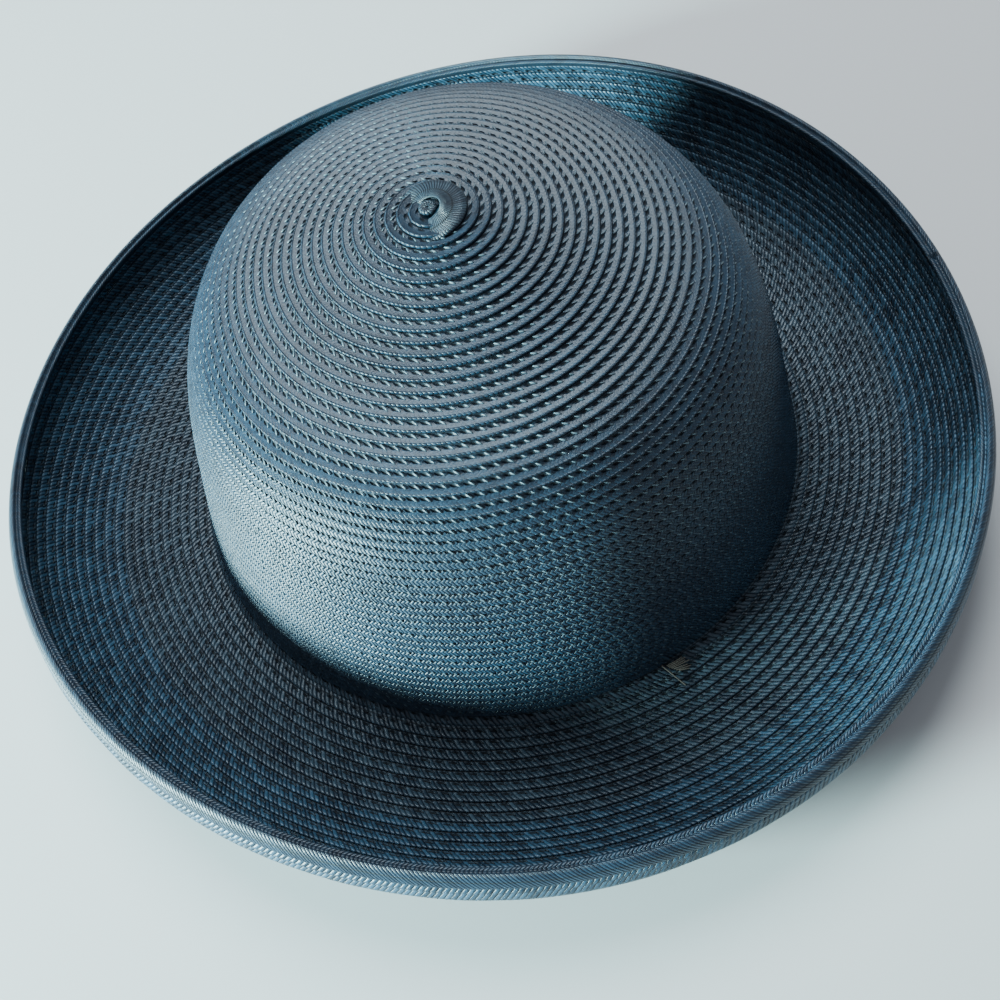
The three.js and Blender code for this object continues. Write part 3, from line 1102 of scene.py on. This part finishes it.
# %% [markdown]
# ## Where the braid starts
#
# The sewing starts with the braid's cut end, hooked tightly round the tip of the crown.
# The hook is too tight for the braid to stay flat: on the right it fans out over the
# first turns, its inner side stands up as a small dark arc, and the cut end is curled up
# in the middle. A short table gives the hook's centre line, and a small ring the curl.

# %% The hooked start
START_HOOK = [
    # bearing in degrees, distance from the tip, lift, in mm
    (-100, 6.6, -0.7),
    (-75, 6.5, 0.1),
    (-45, 6.4, 0.5),
    (-15, 6.3, 0.7),
    (15, 6.3, 0.75),
    (45, 6.2, 0.7),
    (75, 6.0, 0.5),
    (105, 5.8, 0.1),
    (130, 5.6, -0.7),
]
START_OUTLINE = [
    # height above the straw, place outwards from the centre line, measure across, in mm
    (0.20, -3.4, 0.2),
    (0.55, -3.0, 0.6),
    (0.35, -1.6, 1.6),
    (0.00, -0.2, 2.6),
    (0.10, 1.6, 3.8),
    (0.00, 2.7, 4.6),
    (-0.35, 3.2, 5.0),
    (-0.70, 3.0, 5.2),
    (-0.50, 1.0, 3.4),
    (-0.25, -0.6, 2.0),
    (-0.10, -3.1, 0.6),
]
START_STEPS = 60
CURL_REACH = 1.15 * MM
CURL_LIFT = 0.45 * MM
CURL_STEPS = 28
CURL_OUTLINE = [
    # height above the straw, place outwards from the ring, measure across, in mm
    (0.00, -1.1, 0.2),
    (0.25, -0.6, 1.0),
    (0.10, -0.1, 2.2),
    (0.30, 0.4, 3.4),
    (0.15, 0.95, 4.6),
    (-0.40, 1.2, 5.0),
    (-0.70, 0.2, 3.0),
    (-0.60, -0.8, 1.0),
]


def smooth_table(table, count):
    """Evenly many rows between a table's rows, on a smooth curve through them."""
    return between_rows(np.array(table, dtype=float), np.linspace(0, 1, count))


def hook_start():
    bearing, reach, lift = smooth_table(START_HOOK, START_STEPS).T
    turn = np.radians(bearing)
    points = straw_point(reach * MM, turn, lift * MM)
    out = straw_out(reach * MM, turn)
    outline = outline_object("start_outline", np.array(START_OUTLINE) * MM)
    made = sweep_once("braid_start_hook", points, out, lengths_along(points), outline, False,
                      start_straw)
    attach(made, "root")
    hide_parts("braid_start")
    return made


def curl_end():
    """The braid's cut end, curled up tightly at the very tip."""
    turn = np.arange(CURL_STEPS) * 2 * np.pi / CURL_STEPS
    reach = np.full(CURL_STEPS, CURL_REACH)
    points = straw_point(reach, turn, CURL_LIFT)
    outline = outline_object("curl_outline", np.array(CURL_OUTLINE) * MM)
    made = sweep_once("braid_end_curl", points, straw_out(reach, turn), turn * CURL_REACH,
                      outline, True, start_straw)
    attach(made, "root")
    return made


braid_start_hook = hook_start()
braid_end_curl = curl_end()
print("braid start triangles:", triangles(braid_start_hook), triangles(braid_end_curl))

# %% [markdown]
# ## Loose thread
#
# At the foot of the crown the maker tacked the brim's first row on with brown thread, and
# its cut ends have frayed. A pale fibre has also worked loose at the back of the brim.
# They are thin tubes: all strands of a bundle go through the sweep in one go.

# %% Frayed strands
STRAND_SIDES = 6
STRAND_STEPS = 12
STRAND_LIFT = 0.35
TACK_STRANDS = [
    # way past the foot and degrees past the join, at start and end; rise; thickness, in mm
    {"ways": (-0.7, 8.0), "degrees": (-0.9, 0.5), "rise": 0.35, "across": 0.42},
    {"ways": (0.4, 0.8), "degrees": (-0.2, 3.0), "rise": 0.12, "across": 0.42},
    {"ways": (0.9, 1.4), "degrees": (-0.1, 3.4), "rise": 0.18, "across": 0.42},
    {"ways": (1.4, 2.0), "degrees": (0.0, 3.1), "rise": 0.12, "across": 0.42},
    {"ways": (1.9, 2.7), "degrees": (0.3, 3.7), "rise": 0.2, "across": 0.42},
    {"ways": (2.4, 3.4), "degrees": (0.6, 3.0), "rise": 0.12, "across": 0.42},
    {"ways": (3.0, 4.2), "degrees": (0.8, 3.3), "rise": 0.15, "across": 0.42},
    {"ways": (3.5, 4.6), "degrees": (1.1, 2.8), "rise": 0.12, "across": 0.42},
]
LOOSE_FIBRE = [
    {"ways": (62.8, 69.4), "degrees": (166.6, 168.0), "rise": 1.0, "across": 0.28},
]


def strand_outline(across):
    turns = np.arange(STRAND_SIDES) * 2 * np.pi / STRAND_SIDES
    ring = np.stack([np.cos(turns), -np.sin(turns), turns], axis=1)
    return outline_object("strand_outline", ring * across * MM / 2)


def fray(name, strands):
    """A bundle of arched strands lying on the brim."""
    share = np.linspace(0, 1, STRAND_STEPS)
    arch = np.sin(np.pi * share)
    parts = []
    for strand in strands:
        way = CROWN_WAY + np.interp(share, (0, 1), strand["ways"]) * MM
        turn = JOIN_BEARING + np.radians(np.interp(share, (0, 1), strand["degrees"]))
        lift = (STRAND_LIFT + strand["rise"] * arch) * MM
        parts.append(straw_point(way, turn, lift))
    points = np.concatenate(parts)
    lay = np.tile([0.0, 0.0, 1.0], (len(points), 1))
    order = np.repeat(np.arange(len(strands)), STRAND_STEPS).astype(float)
    along = np.tile(share, len(strands)) * MM
    source = path_object(name, points, lay=lay, strand=order, along=along)
    outline = strand_outline(np.mean([strand["across"] for strand in strands]))
    made = grow(source, braid_tree, Outline=outline, Closed=False,
                Material=threads["frayed_thread"])
    bpy.data.objects.remove(outline)
    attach(made, "root")
    return made


tack_fray = fray("tack_fray", TACK_STRANDS)
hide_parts("thread_tack")
fray("loose_fibre", LOOSE_FIBRE)
print("frayed strands:", len(TACK_STRANDS) + len(LOOSE_FIBRE))

# %% [markdown]
# ## Floor and light
#
# The hat needs a plain floor and a light that shows its relief. A small strong lamp stands
# low at the left, so that each row shades the next, and a wide weak one hangs above, behind
# the hat. One big lamp would be simpler, but the rows would look flat under it. A pale sky
# fills the shadows.

# %% Floor and light
FLOOR_REACH = 4.0
FLOOR_COLOUR = (0.62, 0.61, 0.6)
FLOOR_ROUGHNESS = 0.6
LIGHTS = [
    # name, azimuth and elevation in degrees, distance and size in metres, watts, colour
    ("key", 192, 10, 1.2, 0.36, 112, (0.60, 0.97, 1.0)),
    ("top", 95, 62, 1.4, 1.0, 28, (0.80, 0.93, 1.0)),
]
AIM_HEIGHT = 0.05
SKY_COLOUR = (0.8, 0.88, 1.0, 1)
SKY_STRENGTH = 0.38


def plain_material(name, colour, roughness):
    material = bpy.data.materials.new(name)
    material.use_nodes = True
    shader = material.node_tree.nodes["Principled BSDF"]
    shader.inputs["Base Color"].default_value = (*colour, 1)
    shader.inputs["Roughness"].default_value = roughness
    return material


def lay_floor():
    mesh = bpy.data.meshes.new("floor")
    reach = FLOOR_REACH
    mesh.from_pydata([(-reach, -reach, 0), (reach, -reach, 0), (reach, reach, 0),
                      (-reach, reach, 0)], [], [(0, 1, 2, 3)])
    mesh.materials.append(plain_material("floor", FLOOR_COLOUR, FLOOR_ROUGHNESS))
    made = bpy.data.objects.new("floor", mesh)
    bpy.context.scene.collection.objects.link(made)


def soft_light(name, azimuth, elevation, distance, size, power, colour):
    data = bpy.data.lights.new(name, "AREA")
    data.shape = "DISK"
    data.size = size
    data.energy = power
    data.color = colour
    made = bpy.data.objects.new(name, data)
    turn, rise = math.radians(azimuth), math.radians(elevation)
    place = Vector((math.cos(turn) * math.cos(rise), math.sin(turn) * math.cos(rise),
                    math.sin(rise))) * distance
    made.location = place + Vector((0, 0, AIM_HEIGHT))
    made.rotation_euler = place.to_track_quat("Z", "Y").to_euler()
    bpy.context.scene.collection.objects.link(made)


lay_floor()
for settings in LIGHTS:
    soft_light(*settings)
world = bpy.data.worlds.new("studio")
world.use_nodes = True
sky = world.node_tree.nodes["Background"]
sky.inputs["Color"].default_value = SKY_COLOUR
sky.inputs["Strength"].default_value = SKY_STRENGTH
bpy.context.scene.world = world
print("lamps:", len(bpy.data.lights))
